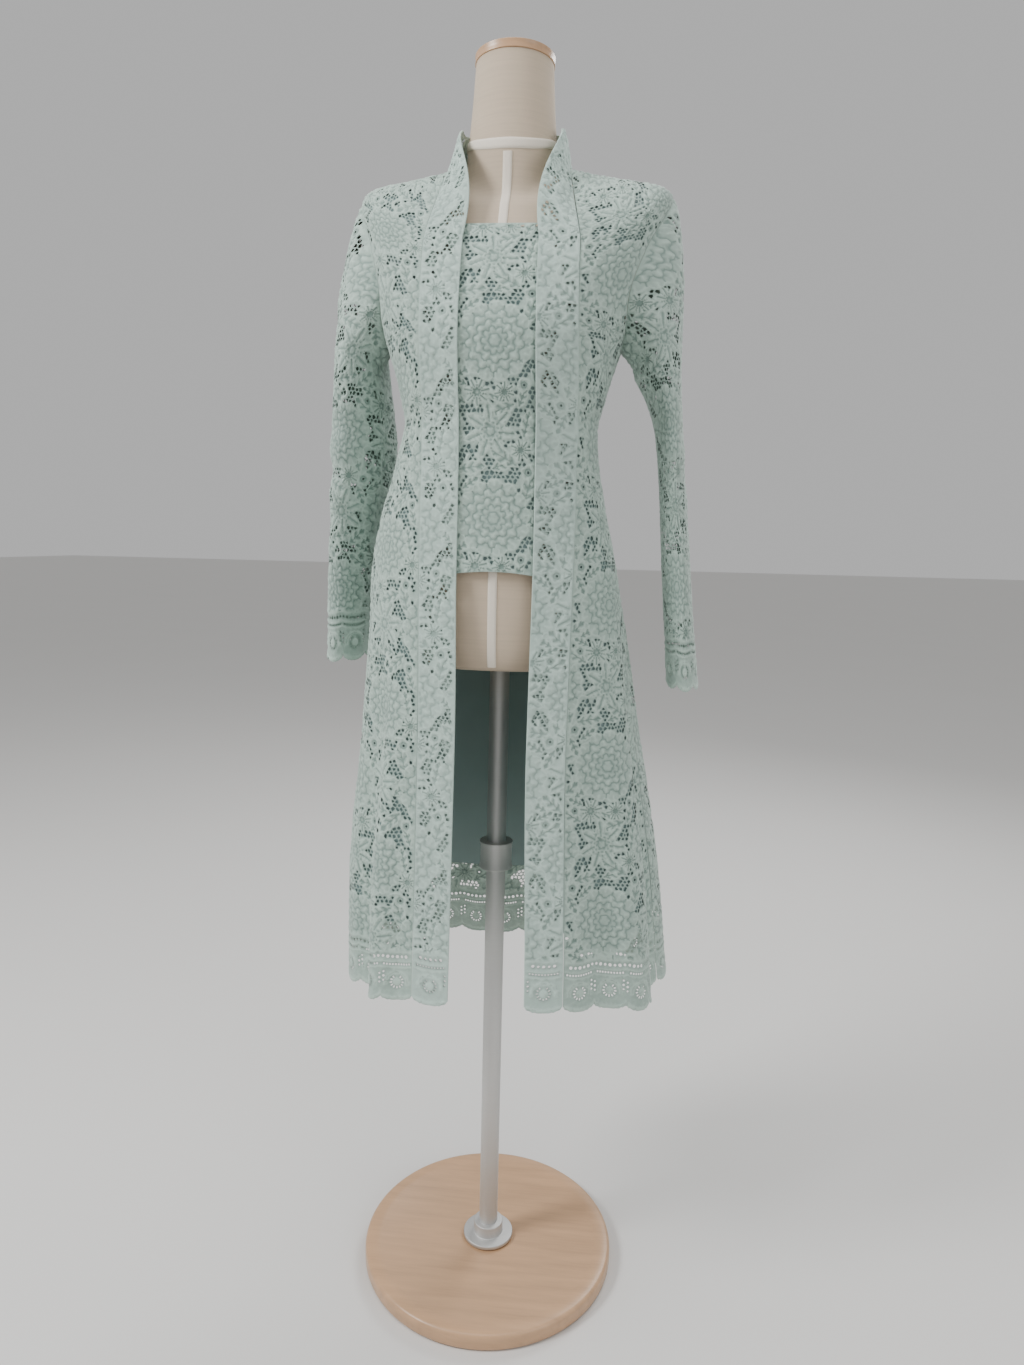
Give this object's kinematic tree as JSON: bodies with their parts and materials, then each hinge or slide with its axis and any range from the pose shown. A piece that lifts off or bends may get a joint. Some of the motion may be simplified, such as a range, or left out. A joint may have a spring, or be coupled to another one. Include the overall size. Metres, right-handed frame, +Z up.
{
  "type": "kebaya blouse on dress form",
  "caption": "Long lace kutubaru kebaya with a centre panel, front bands and long sleeves, worn by a linen dress form on a round stand",
  "frame": {"origin": "on the floor under the middle of the round stand, which is the middle of the flat underside", "axes": "+Z up along the stand's pole; the front of the blouse faces -Y; the wearer's left is +X"},
  "size_m": [0.477, 0.34, 1.5523],
  "materials": {
    "lace": "corded guipure-type cotton lace, sage mint, matt with a rippled relief",
    "lining": "plain satin lining, grey teal, soft sheen",
    "linen": "natural linen weave over a firm torso, matt",
    "tape": "cream cotton twill tape, matt",
    "cap_wood": "clear satin varnish",
    "base_wood": "clear satin varnish",
    "steel": "brushed"
  },
  "bodies": {
    "root": {"front_left": "lace", "front_right": "lace", "band_left": "lace", "band_right": "lace", "centre_panel": "lace", "back": "lace", "sleeve_left": "lace", "sleeve_right": "lace", "lining_front_left": "lining", "lining_front_right": "lining", "lining_back": "lining", "lining_centre": "lining", "form_body": "linen", "neck_tape": "tape", "front_tape": "tape", "neck_cap": "cap_wood", "stand_pole": "steel", "stand_base": "base_wood"}
  },
  "joints": []
}
